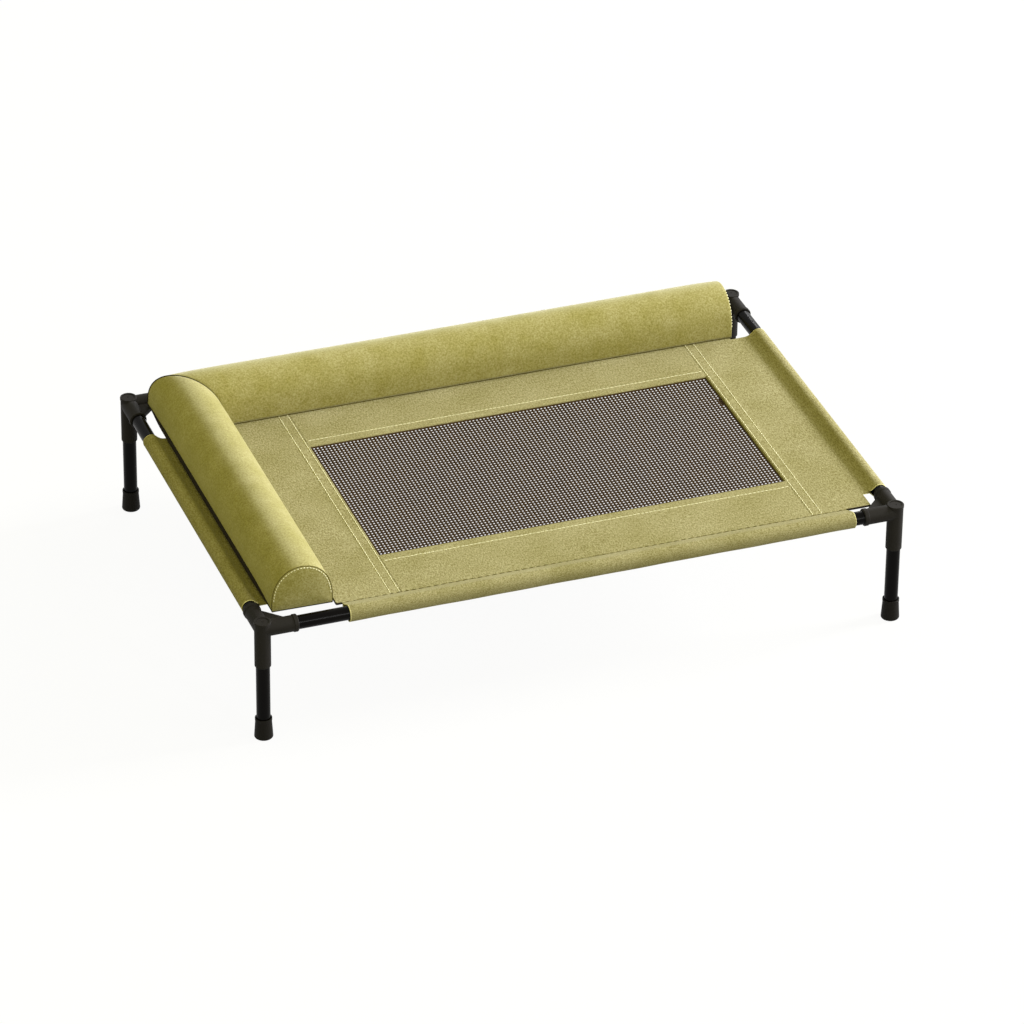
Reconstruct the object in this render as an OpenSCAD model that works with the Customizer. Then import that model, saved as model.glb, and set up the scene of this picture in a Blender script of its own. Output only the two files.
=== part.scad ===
// Raised dog cot: a low tube frame with a stretched cover and an L-shaped bolster.
// Millimetres. Origin on the floor below the middle of the frame, +X right, +Y back, +Z up.

/* [Overall] */
// Length over the feet, left to right
cot_length = 660; // [560:5:900]
// Width over the feet, front to back
cot_width = 450; // [400:5:700]
// Height from the floor to the crown of the bolster
cot_height = 170; // [150:1:260]

/* [Tubes] */
// Outer diameter of rails and legs
tube_d = 13.5; // [12:0.5:16]
// Wall of rails and legs
tube_wall = 1.2; // [0.8:0.1:2]

/* [Corner connectors] */
// Wall of the upright barrel round the leg
barrel_wall = 1.1; // [0.8:0.1:3]
// Rail axis down to the lower end of the barrel
barrel_drop = 41; // [30:1:60]
// Depth of the leg in the barrel
leg_insert = 28; // [15:1:30]
// Rail axis up to the top of the cap
cap_rise = 8.5; // [8.2:0.1:14]
// Thickness of the cap
cap_t = 2.8; // [1.5:0.1:3.5]
// Overhang of the cap past the barrel
cap_lip = 0.4; // [0.2:0.1:1.5]
// Width of the cap's raised rim
cap_rim = 2; // [1:0.1:3]
// Depth of the cap's dished face
cap_dish = 0.5; // [0.2:0.1:1]
// Diameter of the dimple in the cap
dimple_d = 2.4; // [1:0.1:4]
// Depth of the dimple below the dished face
dimple_depth = 1.6; // [0.5:0.1:3]
// Step from the rail up to the connector arm
arm_step = 1.2; // [0.3:0.05:1.5]
// Step from the rail up to the collar
collar_step = 1.85; // [1.7:0.05:3]
// Width of the collar
collar_w = 4.5; // [3:0.5:8]
// Leg axis to the outer face of the collar
arm_reach = 34; // [28:1:50]
// Length of the spigot inside the rail
spigot_len = 28; // [15:1:40]
// Leg axis to the points where the web's slanted edge crosses the arms' axes
web_reach = 35; // [24:1:36]
// Thickness of the web
web_t = 4; // [2:0.5:6]

/* [Feet] */
// Diameter of the foot on the floor
foot_d = 18.2; // [17:0.1:26]
// Height of the foot
foot_h = 22; // [18:1:34]
// Thickness of the foot under the leg
foot_floor = 4; // [2:0.5:8]
// Wall of the foot's mouth
foot_lip = 0.7; // [0.5:0.1:1.2]
// Depth of the wide mouth
mouth_depth = 3; // [2:0.5:6]
// Gap round the leg in the mouth
mouth_gap = 0.5; // [0.3:0.1:1]

/* [Cover] */
// Thickness of the bed cloth
cloth_t = 0.7; // [0.4:0.1:1.5]
// Rail axis to the front and back seams
seam_set = 18; // [14:0.5:24]
// Lap of the sleeve bands under the bed cloth
seam_lap = 8; // [4:1:14]
// Left leg axis to the end of the front and back sleeve bands
band_left = 85; // [60:1:110]
// Right leg axis to the end of the front and back sleeve bands
band_right = 44; // [38:1:80]
// Left leg axis to the notched edge of the bed cloth
notch_left = 79; // [50:1:100]
// Right leg axis to the notched edge of the bed cloth
notch_right = 30; // [26:1:80]
// Front leg axes to the front ends of the side sleeves
side_front = 40; // [36:1:70]
// Back leg axes to the back ends of the side sleeves
side_back = 75; // [50:1:100]

/* [Mesh] */
// Left leg axis to the mesh window
mesh_left = 144; // [110:1:180]
// Right leg axis to the mesh window
mesh_right = 80; // [50:1:140]
// Front leg axis to the mesh window
mesh_front = 85; // [50:1:120]
// Back leg axis to the mesh window
mesh_back = 135; // [100:1:160]
// Thickness of the mesh
mesh_t = 0.8; // [0.4:0.1:1.5]
// Hem of the mesh under the bed cloth
mesh_hem = 11; // [6:1:16]
// Gaps of the mesh from left to right
mesh_cols = 24; // [8:1:24]
// Gaps of the mesh from front to back
mesh_rows = 12; // [4:1:12]
// Width of a mesh strand
strand_w = 6; // [2:0.5:7]

/* [Bolster] */
// Width of the bolster's base
bolster_w = 60; // [45:1:75]
// Height of the bolster from its base to its crown
bolster_h = 45.5; // [35:0.5:60]
// Swell of the sides past the base
side_swell = 1.5; // [1:0.5:6]
// Sink of the crown at the end seams and at the mitre
seam_sink = 2; // [0.5:0.5:4]
// Length over which the seams draw the bolster in
seam_fade = 12; // [6:1:25]
// Thickness of the bolster cloth
skin_t = 1; // [0.6:0.1:2]
// Left rail axis to the outer edge of the left arm
bolster_side = 16.4; // [15:0.1:40]
// Back rail axis to the outer edge of the back arm
bolster_back = 12.5; // [12:0.1:40]
// Front rail axis to the front end of the left arm
bolster_front = 22; // [18:1:80]
// Right rail axis to the right end of the back arm
bolster_right = 28; // [20:1:120]

/* [Hook and loop] */
// Width of the strips
strip_w = 25; // [15:1:35]
// Thickness of a loop strip
loop_t = 1.2; // [0.8:0.1:2]
// Thickness of a hook strip
hook_t = 1.2; // [0.8:0.1:2]
// Left arm's end to the start of its strip
strip_end_left = 40; // [25:1:80]
// Back arm's end to the start of its strip
strip_end_back = 40; // [20:1:120]
// Mitre to the far end of each strip
strip_mitre = 65; // [55:1:110]

/* [Clearances] */
// Clearance round a leg in its barrel
barrel_fit = 0.05; // [0.02:0.01:0.2]
// Clearance round a spigot in its rail
spigot_fit = 0.1; // [0.02:0.01:0.3]
// Clearance round a leg in its foot
foot_fit = 0.05; // [0.02:0.01:0.2]
// Clearance, along the rail, between a web and the corner of the bed cloth
web_fit = 1; // [0.5:0.5:4]
// Clearance between a rail and its sleeve
sleeve_fit = 0.15; // [0.05:0.05:0.5]
// Clearance between the hook and the loop strips
strip_fit = 0.3; // [0.1:0.1:0.6]
// Clearance between the bolster's filling and its cloth
fill_fit = 0.2; // [0.1:0.1:1]

/* [Hidden] */
$fn = 64;
// Overrun of cuts and overlap of pieces in one solid
eps = 0.5;
// Broken edge of collars, spigots, barrels and caps
chamfer = 0.6;
// Rounding of the foot's sole, and bead round its mouth
foot_edge = 1.6;
foot_bead = 0.3;
// Steps round a sleeve's pocket
pocket_steps = 40;
// Steps round the bolster's section, and sections along an arm, closer near its seams
arc_steps = 20;
ring_marks = [0, 0.015, 0.035, 0.065, 0.12, 0.25, 0.5, 0.75, 0.88, 0.935, 0.965, 0.985, 1];

// Leg axes, and the heights that stack up from the bed to the crown
leg_x = (cot_length - foot_d) / 2;
leg_y = (cot_width - foot_d) / 2;
rail_z = cot_height - bolster_h - hook_t - strip_fit - loop_t - cloth_t;
bed_top = rail_z + cloth_t;
hook_z = bed_top + loop_t + strip_fit;
base_z = hook_z + hook_t;

// Radii of the frame
tube_r = tube_d / 2;
barrel_r = tube_r + barrel_fit + barrel_wall;
cap_r = barrel_r + cap_lip;
arm_r = tube_r + arm_step;
collar_r = tube_r + collar_step;
spigot_r = tube_r - tube_wall - spigot_fit;
foot_r = foot_d / 2;
mouth_r = tube_r + mouth_gap;

// Sleeves: inner and outer radius, and the outer tip of the side pockets, whose flanks slope at 45 degrees
sleeve_in = tube_r + sleeve_fit;
sleeve_out = sleeve_in + cloth_t;
side_tip = sqrt(2) * sleeve_out;

// Edges of the cover
seam_y = leg_y - seam_set;
side_y0 = side_front - leg_y;
side_y1 = leg_y - side_back;
band_x0 = band_left - leg_x;
band_x1 = leg_x - band_right;
mesh_x0 = mesh_left - leg_x;
mesh_x1 = leg_x - mesh_right;
mesh_y0 = mesh_front - leg_y;
mesh_y1 = leg_y - mesh_back;
corner_set = web_reach + web_fit - seam_set;

// Bolster: middle lines, free ends and lengths of the arms along their middle lines
half_w = bolster_w / 2;
mid_x = bolster_side + half_w - leg_x;
mid_y = leg_y - bolster_back - half_w;
end_y = bolster_front - leg_y;
end_x = leg_x - bolster_right;
left_reach = mid_y - end_y;
back_reach = end_x - mid_x;

frame_black = "#14110f";
connector_grey = "#33312f";
cloth_olive = "#a89f55";
bolster_olive = "#948a40";
mesh_brown = "#241c16";
fill_white = "#e9e6da";
strip_grey = "#4b4a44";

// Points on an arc round c, from angle a0 to a1
function arc(c, r, a0, a1, n = 6) =
    [for (i = [0:n]) c + r * [cos(a0 + (a1 - a0) * i / n), sin(a0 + (a1 - a0) * i / n)]];

// Places a corner's piece, drawn for the corner at the origin with its arms along +X and +Y
module at_corner(sx, sy, z) {
    translate([sx * leg_x, sy * leg_y, z])
        mirror([sx > 0 ? 1 : 0, 0, 0])
            mirror([0, sy > 0 ? 1 : 0, 0])
                children();
}

// Round tube standing on its lower end
module tube(length) {
    difference() {
        cylinder(r = tube_r, h = length);
        translate([0, 0, -eps])
            cylinder(r = tube_r - tube_wall, h = length + 2 * eps);
    }
}

module long_rail(sy) {
    length = 2 * (leg_x - arm_reach);
    color(frame_black)
        translate([-length / 2, sy * leg_y, rail_z])
            rotate([0, 90, 0])
                tube(length);
}

module side_rail(sx) {
    length = 2 * (leg_y - arm_reach);
    color(frame_black)
        translate([sx * leg_x, length / 2, rail_z])
            rotate([90, 0, 0])
                tube(length);
}

// Arm with its collar, and the spigot that goes into the rail, along +Z
module connector_arm() {
    spigot_end = arm_reach + spigot_len;
    rotate_extrude()
        polygon([
            [0, 0],
            [arm_r, 0],
            [arm_r, arm_reach - collar_w],
            [collar_r - chamfer, arm_reach - collar_w],
            [collar_r, arm_reach - collar_w + chamfer],
            [collar_r, arm_reach - chamfer],
            [collar_r - chamfer, arm_reach],
            [spigot_r, arm_reach],
            [spigot_r, spigot_end - chamfer],
            [spigot_r - chamfer, spigot_end],
            [0, spigot_end]
        ]);
}

// Barrel and cap, with the rail axis at z = 0
module connector_barrel() {
    dish_z = cap_rise - cap_dish;
    rotate_extrude()
        polygon(concat(
            [[0, -barrel_drop], [barrel_r - chamfer, -barrel_drop], [barrel_r, chamfer - barrel_drop]],
            [[barrel_r, cap_rise - cap_t], [cap_r, cap_rise - cap_t]],
            arc([cap_r - chamfer, cap_rise - chamfer], chamfer, 0, 90, 4),
            [[cap_r - cap_rim, cap_rise], [cap_r - cap_rim, dish_z]],
            [[dimple_d / 2, dish_z], [dimple_d / 2, dish_z - dimple_depth], [0, dish_z - dimple_depth]]
        ));
}

// Web between the arms, with a slanted edge that ends inside both of them
module connector_web() {
    side = web_reach - tube_r;
    translate([0, 0, -web_t / 2])
        linear_extrude(web_t)
            polygon([[0, 0], [side, 0], [side, tube_r], [tube_r, side], [0, side]]);
}

module connector(sx, sy) {
    color(connector_grey)
        at_corner(sx, sy, rail_z)
            difference() {
                union() {
                    connector_barrel();
                    rotate([0, 90, 0])
                        connector_arm();
                    rotate([-90, 0, 0])
                        connector_arm();
                    connector_web();
                }
                translate([0, 0, -barrel_drop - eps])
                    cylinder(r = tube_r + barrel_fit, h = leg_insert + eps);
            }
}

module leg(sx, sy) {
    color(frame_black)
        at_corner(sx, sy, foot_floor)
            tube(rail_z - barrel_drop + leg_insert - foot_floor);
}

// Rubber ferrule: a tapered cup with a rounded sole, a beaded lip and a wide mouth
module foot(sx, sy) {
    lip_r = mouth_r + foot_lip;
    cup_r = tube_r + foot_fit;
    color(connector_grey)
        at_corner(sx, sy, 0)
            rotate_extrude()
                polygon(concat(
                    [[0, 0]],
                    arc([foot_r - foot_edge, foot_edge], foot_edge, -90, 0, 5),
                    [[lip_r, foot_h - mouth_depth]],
                    [[lip_r + foot_bead, foot_h - mouth_depth + foot_bead]],
                    [[lip_r + foot_bead, foot_h - foot_bead], [lip_r, foot_h], [mouth_r, foot_h]],
                    [[mouth_r, foot_h - mouth_depth], [cup_r, foot_h - mouth_depth]],
                    [[cup_r, foot_floor], [0, foot_floor]]
                ));
}

// Outline of a sleeve's pocket: round over the rail, then drawn taut to a tip towards the bed
module pocket(r, tip) {
    lean = acos(r / tip);
    polygon(concat(arc([0, 0], r, lean, 360 - lean, pocket_steps), [[tip, 0]]));
}

// Section of a sleeve with its outer tip, and a flap of the given reach and level that joins the bed
module sleeve_section(tip, reach, level) {
    inner_tip = tip * sleeve_in / sleeve_out;
    difference() {
        union() {
            pocket(sleeve_out, tip);
            translate([inner_tip, level])
                square([reach - inner_tip, cloth_t]);
        }
        pocket(sleeve_in, inner_tip);
    }
}

// Sleeve band drawn from the seam round the front rail, lapped under the bed cloth
module front_band() {
    translate([band_x0, -leg_y, rail_z])
        rotate([90, 0, 90])
            linear_extrude(band_x1 - band_x0)
                sleeve_section(seam_set, seam_set + seam_lap, -cloth_t);
}

module cover_front_sleeve() {
    color(cloth_olive)
        front_band();
}

module cover_back_sleeve() {
    color(cloth_olive)
        mirror([0, 1, 0])
            front_band();
}

// Cloth of the left side from the mesh to its sleeve, in one piece along the whole bed
module side_cloth(reach) {
    translate([-leg_x, seam_y, rail_z])
        rotate([90, 0, 0])
            linear_extrude(2 * seam_y)
                sleeve_section(side_tip, reach, 0);
}

// Cut that takes a corner off the side cloth, up to a distance from the rail axis
module corner_cut(reach, y0, y1) {
    clear = sleeve_out + eps;
    translate([-leg_x - clear, y0, rail_z - clear])
        cube([clear + reach, y1 - y0, 2 * clear]);
}

module cover_left_panel() {
    color(cloth_olive)
        difference() {
            side_cloth(mesh_left);
            corner_cut(notch_left, -seam_y - eps, side_y0);
            corner_cut(notch_left, side_y1, seam_y + eps);
        }
}

module cover_right_panel() {
    color(cloth_olive)
        mirror([1, 0, 0])
            difference() {
                side_cloth(mesh_right);
                corner_cut(corner_set, -seam_y - eps, side_y0);
                corner_cut(notch_right, side_y1, seam_y + eps);
            }
}

// Flat cloth of the bed
module bed_cloth(outline) {
    translate([0, 0, rail_z])
        linear_extrude(cloth_t)
            polygon(outline);
}

module cover_front_strip() {
    color(cloth_olive)
        bed_cloth([[mesh_x0, -seam_y], [mesh_x1, -seam_y], [mesh_x1, mesh_y0], [mesh_x0, mesh_y0]]);
}

module cover_back_strip() {
    color(cloth_olive)
        bed_cloth([[mesh_x0, mesh_y1], [mesh_x1, mesh_y1], [mesh_x1, seam_y], [mesh_x0, seam_y]]);
}

// Coarse net with a plain hem, hung under the edges of the bed cloth
module cover_mesh() {
    window = [mesh_x1 - mesh_x0, mesh_y1 - mesh_y0];
    pitch = [(window.x + strand_w) / mesh_cols, (window.y + strand_w) / mesh_rows];
    color(mesh_brown)
        translate([mesh_x0, mesh_y0, rail_z - mesh_t])
            linear_extrude(mesh_t)
                difference() {
                    translate([-mesh_hem, -mesh_hem])
                        square(window + 2 * [mesh_hem, mesh_hem]);
                    for (i = [0:mesh_cols - 1], j = [0:mesh_rows - 1])
                        translate([i * pitch.x, j * pitch.y])
                            square(pitch - [strand_w, strand_w]);
                }
}

// Strips that lie along the middle lines of the bolster's arms
module strips(z, t) {
    translate([mid_x - strip_w / 2, end_y + strip_end_left, z])
        cube([strip_w, left_reach - strip_end_left - strip_mitre, t]);
    translate([mid_x + strip_mitre, mid_y - strip_w / 2, z])
        cube([back_reach - strip_end_back - strip_mitre, strip_w, t]);
}

module loop_strips() {
    color(strip_grey)
        strips(bed_top, loop_t);
}

module hook_strips() {
    color(strip_grey)
        strips(hook_z, hook_t);
}

// Sink of the crown at a distance from the nearest seam
function sink(d) = seam_sink * exp(-d / seam_fade);

// Point of the bolster's section at an angle, inset from the cloth's outer face, with its crown sunk.
// The sides swell past the base, and half of the swell is gone where the crown is sunk in full.
function section_point(angle, inset, drop) =
    let (swell = side_swell * (1 - drop / (2 * seam_sink)))
    [
        (half_w - inset) * cos(angle) + swell * sin(2 * angle),
        (bolster_h - skin_t - inset - drop) * sin(angle)
    ];

// Section of an arm as a run of points from its inner side over the crown to its outer side
function section_arc(inset, drop) =
    [for (i = [0:arc_steps]) section_point(180 * i / arc_steps, inset, drop)];

// The same section set along the arm; mark runs from 0 at the free end to 1 on the slanted mitre
function arm_ring(mark, reach, inset, start) =
    let (drop = sink(min(mark, 1 - mark) * reach))
    [for (p = section_arc(inset, drop)) [p.x, start + mark * (reach - p.x - start), p.y]];

// Points of a list in turned order
function turned(list) = [for (i = [len(list) - 1:-1:0]) list[i]];

// Triangles between neighbouring rings of n points each, closed round the ring
function loft_sides(rings, n) = [
    for (k = [0:rings - 2], i = [0:n - 1])
        let (j = (i + 1) % n, a = k * n)
        each [[a + i, a + j, a + n + j], [a + i, a + n + j, a + n + i]]
];

// Closed loft through rings of n points, with the same triangles closing both ends
module loft(rings, n, cap) {
    last = (len(rings) - 1) * n;
    far_cap = [for (f = cap) [f[2] + last, f[1] + last, f[0] + last]];
    polyhedron([for (ring = rings) each ring], concat(loft_sides(len(rings), n), cap, far_cap));
}

// Arched cloth of one arm: its free end at -Y is open for the end panel, its far end is the mitre
module arm_cloth(reach) {
    n = 2 * (arc_steps + 1);
    rings = [
        for (mark = ring_marks)
            concat(arm_ring(mark, reach, 0, skin_t), turned(arm_ring(mark, reach, skin_t, skin_t)))
    ];
    cap = [
        for (i = [0:arc_steps - 1])
            each [[i, n - 1 - i, n - 2 - i], [i, n - 2 - i, i + 1]]
    ];
    loft(rings, n, cap);
}

// Filling of one arm, clear of the cloth all round and seated on the base panel
module arm_fill(reach) {
    inset = skin_t + fill_fit;
    rings = [for (mark = ring_marks) arm_ring(mark, reach - fill_fit, inset, inset)];
    cap = [for (i = [1:arc_steps - 1]) [0, i + 1, i]];
    loft(rings, arc_steps + 1, cap);
}

// Sewn panel on the free end of an arm
module arm_end() {
    translate([0, skin_t, 0])
        rotate([90, 0, 0])
            linear_extrude(skin_t)
                polygon(section_arc(0, seam_sink));
}

// Base panel of an arm, cut to the mitre
module arm_base(reach) {
    linear_extrude(skin_t)
        polygon([[half_w, 0], [half_w, reach - half_w], [-half_w, reach + half_w], [-half_w, 0]]);
}

// Sets a piece of an arm, drawn with its free end at -Y, along the left side of the bed
module on_left_arm(z, tint = bolster_olive) {
    color(tint)
        translate([mid_x, end_y, z])
            children();
}

// Sets it along the back, turned over so that both arms meet in the mitre
module on_back_arm(z, tint = bolster_olive) {
    color(tint)
        translate([end_x, mid_y, z])
            mirror([1, 1, 0])
                children();
}

module bolster_left_cover() {
    on_left_arm(base_z + skin_t)
        arm_cloth(left_reach);
}

module bolster_back_cover() {
    on_back_arm(base_z + skin_t)
        arm_cloth(back_reach);
}

module bolster_front_end() {
    on_left_arm(base_z + skin_t)
        arm_end();
}

module bolster_right_end() {
    on_back_arm(base_z + skin_t)
        arm_end();
}

module bolster_left_base() {
    on_left_arm(base_z)
        arm_base(left_reach);
}

module bolster_back_base() {
    on_back_arm(base_z)
        arm_base(back_reach);
}

module bolster_left_fill() {
    on_left_arm(base_z + skin_t, fill_white)
        arm_fill(left_reach);
}

module bolster_back_fill() {
    on_back_arm(base_z + skin_t, fill_white)
        arm_fill(back_reach);
}

long_rail(-1);  // rail_front
long_rail(1);  // rail_back
side_rail(-1);  // rail_left
side_rail(1);  // rail_right
connector(-1, -1);  // connector_front_left
connector(1, -1);  // connector_front_right
connector(-1, 1);  // connector_back_left
connector(1, 1);  // connector_back_right
leg(-1, -1);  // leg_front_left
leg(1, -1);  // leg_front_right
leg(-1, 1);  // leg_back_left
leg(1, 1);  // leg_back_right
foot(-1, -1);  // foot_front_left
foot(1, -1);  // foot_front_right
foot(-1, 1);  // foot_back_left
foot(1, 1);  // foot_back_right
cover_left_panel();
cover_right_panel();
cover_front_strip();
cover_back_strip();
cover_front_sleeve();
cover_back_sleeve();
cover_mesh();
loop_strips();
bolster_left_cover();
bolster_back_cover();
bolster_front_end();
bolster_right_end();
bolster_left_base();
bolster_back_base();
bolster_left_fill();
bolster_back_fill();
hook_strips();
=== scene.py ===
import math

import bpy
import numpy as np
from mathutils import Matrix


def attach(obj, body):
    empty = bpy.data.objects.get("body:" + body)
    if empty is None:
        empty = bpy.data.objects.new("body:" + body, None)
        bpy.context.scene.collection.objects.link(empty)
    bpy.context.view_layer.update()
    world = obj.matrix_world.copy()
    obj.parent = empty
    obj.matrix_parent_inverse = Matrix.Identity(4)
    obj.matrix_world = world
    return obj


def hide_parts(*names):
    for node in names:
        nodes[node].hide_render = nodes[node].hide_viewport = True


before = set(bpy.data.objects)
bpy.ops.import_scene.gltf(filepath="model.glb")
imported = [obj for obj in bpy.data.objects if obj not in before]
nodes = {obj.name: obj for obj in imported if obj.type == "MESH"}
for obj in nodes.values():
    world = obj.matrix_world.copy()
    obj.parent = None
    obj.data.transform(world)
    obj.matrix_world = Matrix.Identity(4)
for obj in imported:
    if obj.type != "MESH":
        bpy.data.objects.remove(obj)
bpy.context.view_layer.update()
mm = 0.001
print("frame loaded:", len(nodes), "nodes")

# Shared measures of the cot in millimetres, as in the CAD part
cot = {
    "legX": 320.9, "legY": 215.9, "railZ": 121.1, "tubeRadius": 6.75,
    "clothThick": 0.7, "sleeveGap": 0.15, "seamSet": 18.0, "seamLap": 8.0,
    "bandLeft": -235.9, "bandRight": 276.9, "cornerSet": 18.0,
    "notchLeft": 79.0, "notchRight": 30.0, "sideFront": -175.9, "sideBack": 140.9,
    "meshX": (-176.9, 240.9), "meshY": (-130.9, 80.9),
}
seamY = cot["legY"] - cot["seamSet"]
bedTop = cot["railZ"] + cot["clothThick"]
lineGap = 0.3  # least distance between two lines of a grid
hair = 0.02  # keeps a point on an edge clear of the edge's other side
rightWay, backWay, upWay = (1.0, 0.0, 0.0), (0.0, 1.0, 0.0), (0.0, 0.0, 1.0)


# Turns an sRGB hex colour into linear light: a straight foot, then a 2.4 power
def linear(hexText):
    s = np.array([int(hexText[i:i + 2], 16) for i in (1, 3, 5)]) / 255
    rgb = np.where(s <= 0.04045, s / 12.92, ((s + 0.055) / 1.055) ** 2.4)
    return (*rgb.tolist(), 1.0)


# Adds one node, sets its settings, and links or sets its inputs
def addNode(tree, kind, inputs=None, **settings):
    node = tree.nodes.new(kind)
    for key, value in settings.items():
        setattr(node, key, value)
    for socket, source in (inputs or {}).items():
        if isinstance(source, bpy.types.NodeSocket):
            tree.links.new(source, node.inputs[socket])
        else:
            node.inputs[socket].default_value = source
    return node


# New material with an empty tree and its output
def newMaterial(name):
    material = bpy.data.materials.new(name)
    material.use_nodes = True
    tree = material.node_tree
    tree.nodes.clear()
    return material, tree, addNode(tree, "ShaderNodeOutputMaterial")


# Quads of a grid of rows by columns of points, optionally closed round the columns
def gridQuads(rows, cols, closed=False):
    r = np.arange(rows - 1)[:, None]
    c = np.arange(cols if closed else cols - 1)[None, :]
    nextC = (c + 1) % cols
    quads = np.stack([r * cols + c, r * cols + nextC, (r + 1) * cols + nextC, (r + 1) * cols + c], -1)
    return quads.reshape(-1, 4)


# Quads between closed rings of points, and a fan to a middle point at both ends; the two middle
# points follow the rings in the list of points
def loftFaces(rings, count):
    quads = gridQuads(rings, count, True)
    i = np.arange(count)
    j = (i + 1) % count
    last, low, high = (rings - 1) * count, rings * count, rings * count + 1
    fans = np.concatenate([np.stack([j, i, np.full(count, low)], -1),
                           np.stack([last + i, last + j, np.full(count, high)], -1)])
    return quads, fans


# Several lofts in one list of points and faces; turned is for rings that run left-handed along their line
def joinLofts(lofts, turned=False):
    points, faceSets, first = [], [], 0
    for rings in lofts:
        points += [rings.reshape(-1, 3), rings[[0, -1]].mean(1)]
        faceSets += [(faces + first)[:, ::-1 if turned else 1] for faces in loftFaces(*rings.shape[:2])]
        first += rings.size // 3 + 2
    return np.concatenate(points), faceSets


# Rings of a round bead along a flat line: each ring lies across the line, between its normal and the axis
def beadRings(line, axis, radius, sides=6):
    run = np.gradient(line, axis=0)
    side = np.cross(axis, run)
    side /= np.linalg.norm(side, axis=1, keepdims=True)
    turn = np.linspace(0, 2 * np.pi, sides, endpoint=False)[None, :, None]
    return line[:, None] + radius * (side[:, None] * np.cos(turn) + np.asarray(axis) * np.sin(turn))


# Puts points in millimetres and lists of quads or triangles into a new object
def newPiece(name, points, faceSets, material):
    mesh = bpy.data.meshes.new(name)
    corners = np.concatenate([f.ravel() for f in faceSets])
    sizes = np.concatenate([np.full(len(f), f.shape[1]) for f in faceSets])
    mesh.vertices.add(len(points))
    mesh.vertices.foreach_set("co", (points * mm).astype(np.float32).ravel())
    mesh.loops.add(len(corners))
    mesh.loops.foreach_set("vertex_index", corners.astype(np.int32))
    mesh.polygons.add(len(sizes))
    mesh.polygons.foreach_set("loop_start", (np.cumsum(sizes) - sizes).astype(np.int32))
    mesh.polygons.foreach_set("use_smooth", np.ones(len(sizes), bool))
    mesh.update(calc_edges=True)
    mesh.validate()
    piece = bpy.data.objects.new(name, mesh)
    bpy.context.scene.collection.objects.link(piece)
    mesh.materials.append(material)
    return piece


# Says which body a piece moves with and which CAD nodes it stands for; its material slot is not used
def settle(piece, body, slot, *stands):
    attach(piece, body)
    if stands:
        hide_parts(*stands)
    return piece


# Smooth step from 0 to 1 between two values
def ease(low, high, x):
    t = np.clip((x - low) / (high - low), 0, 1)
    return t * t * (3 - 2 * t)


# Lines of a grid: even steps, with extra lines close to chosen places, where the even ones give way
def gridLines(low, high, step, fineAt, fine=(0.35, 0.8, 1.4, 2.2)):
    near = np.array([p + s * d for p in fineAt for d in (0, *fine) for s in (-1, 1)])
    near = np.unique(np.round(near[(near >= low) & (near <= high)], 3))
    even = np.linspace(low, high, int(round((high - low) / step)) + 1)[1:-1]
    even = even[np.abs(even[:, None] - near[None, :]).min(1) > lineGap]
    return np.unique(np.concatenate([[low, high], even, near]))


# Puts a camera or lamp into the scene by its right, up and back directions and its place in metres
def aim(thing, right, up, back, place):
    turn = np.eye(4)
    turn[:3, :3] = np.stack([right, up, back], -1)
    turn[:3, 3] = place
    bpy.context.scene.collection.objects.link(thing)
    thing.matrix_world = Matrix(turn.tolist())


# Camera: angles in degrees, lengths in millimetres, the far clip in metres
cameraSet = {
    "azimuth": -20.2364, "elevation": 31.9171, "roll": 0.7252, "distance": 6069.66,
    "target": (6.02, 0.0, 56.66), "lens": 216.78, "sensor": 36.0, "farClip": 60.0,
}


# Looks at the target from an azimuth, an elevation and a distance, then rolls about the view
def makeCamera(s):
    a, e, r = (math.radians(s[k]) for k in ("azimuth", "elevation", "roll"))
    back = np.array([math.sin(a) * math.cos(e), -math.cos(a) * math.cos(e), math.sin(e)])
    right = np.array([math.cos(a), math.sin(a), 0.0])
    up = np.cross(back, right)
    right, up = right * math.cos(r) + up * math.sin(r), up * math.cos(r) - right * math.sin(r)
    data = bpy.data.cameras.new("photoCamera")
    data.lens, data.sensor_width, data.clip_end = s["lens"], s["sensor"], s["farClip"]
    camera = bpy.data.objects.new("photoCamera", data)
    aim(camera, right, up, back, (np.array(s["target"]) + back * s["distance"]) * mm)
    bpy.context.scene.camera = camera


makeCamera(cameraSet)
print("camera placed")

# Light and floor: a low key from the right, weaker lamps to its front and back and a faint one on the left,
# two small ones for narrow highlights, and a warm ambient light; lengths in metres
studio = {
    # Azimuth from the right side in degrees, watts and size
    "lamps": {"key": (0.0, 1055.0, 2.2), "front": (-45.0, 145.0, 3.0), "rim": (45.0, 125.0, 3.0),
              "left": (180.0, 35.0, 3.0), "frontStrip": (-72.0, 120.0, 0.7), "backStrip": (62.0, 40.0, 0.6)},
    "elevation": 24.0, "distance": 8.0, "ambient": 0.585, "ambientColour": "#FFF884",
    "floorHalf": 6.0, "floorGlow": 0.94, "floorColour": "#EDEDEB", "bounceColour": "#8A8A88",
}


# Square area lamp that faces the floor under the middle of the bed
def areaLamp(name, azimuth, watts, size, s):
    data = bpy.data.lights.new(name, "AREA")
    data.shape, data.size, data.energy = "SQUARE", size, watts
    a, e = math.radians(azimuth), math.radians(s["elevation"])
    back = np.array([math.cos(a) * math.cos(e), math.sin(a) * math.cos(e), math.sin(e)])
    right = np.array([-math.sin(a), math.cos(a), 0.0])
    aim(bpy.data.objects.new(name, data), right, np.cross(back, right), back, back * s["distance"])


# Share of a ray that the eye sees at once: camera, glossy and transmission rays
def seenDirectly(tree):
    path = addNode(tree, "ShaderNodeLightPath").outputs
    first = addNode(tree, "ShaderNodeMath", {0: path["Is Camera Ray"], 1: path["Is Glossy Ray"]},
                    operation="MAXIMUM")
    return addNode(tree, "ShaderNodeMath", {0: first.outputs[0], 1: path["Is Transmission Ray"]},
                   operation="MAXIMUM").outputs[0]


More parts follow.
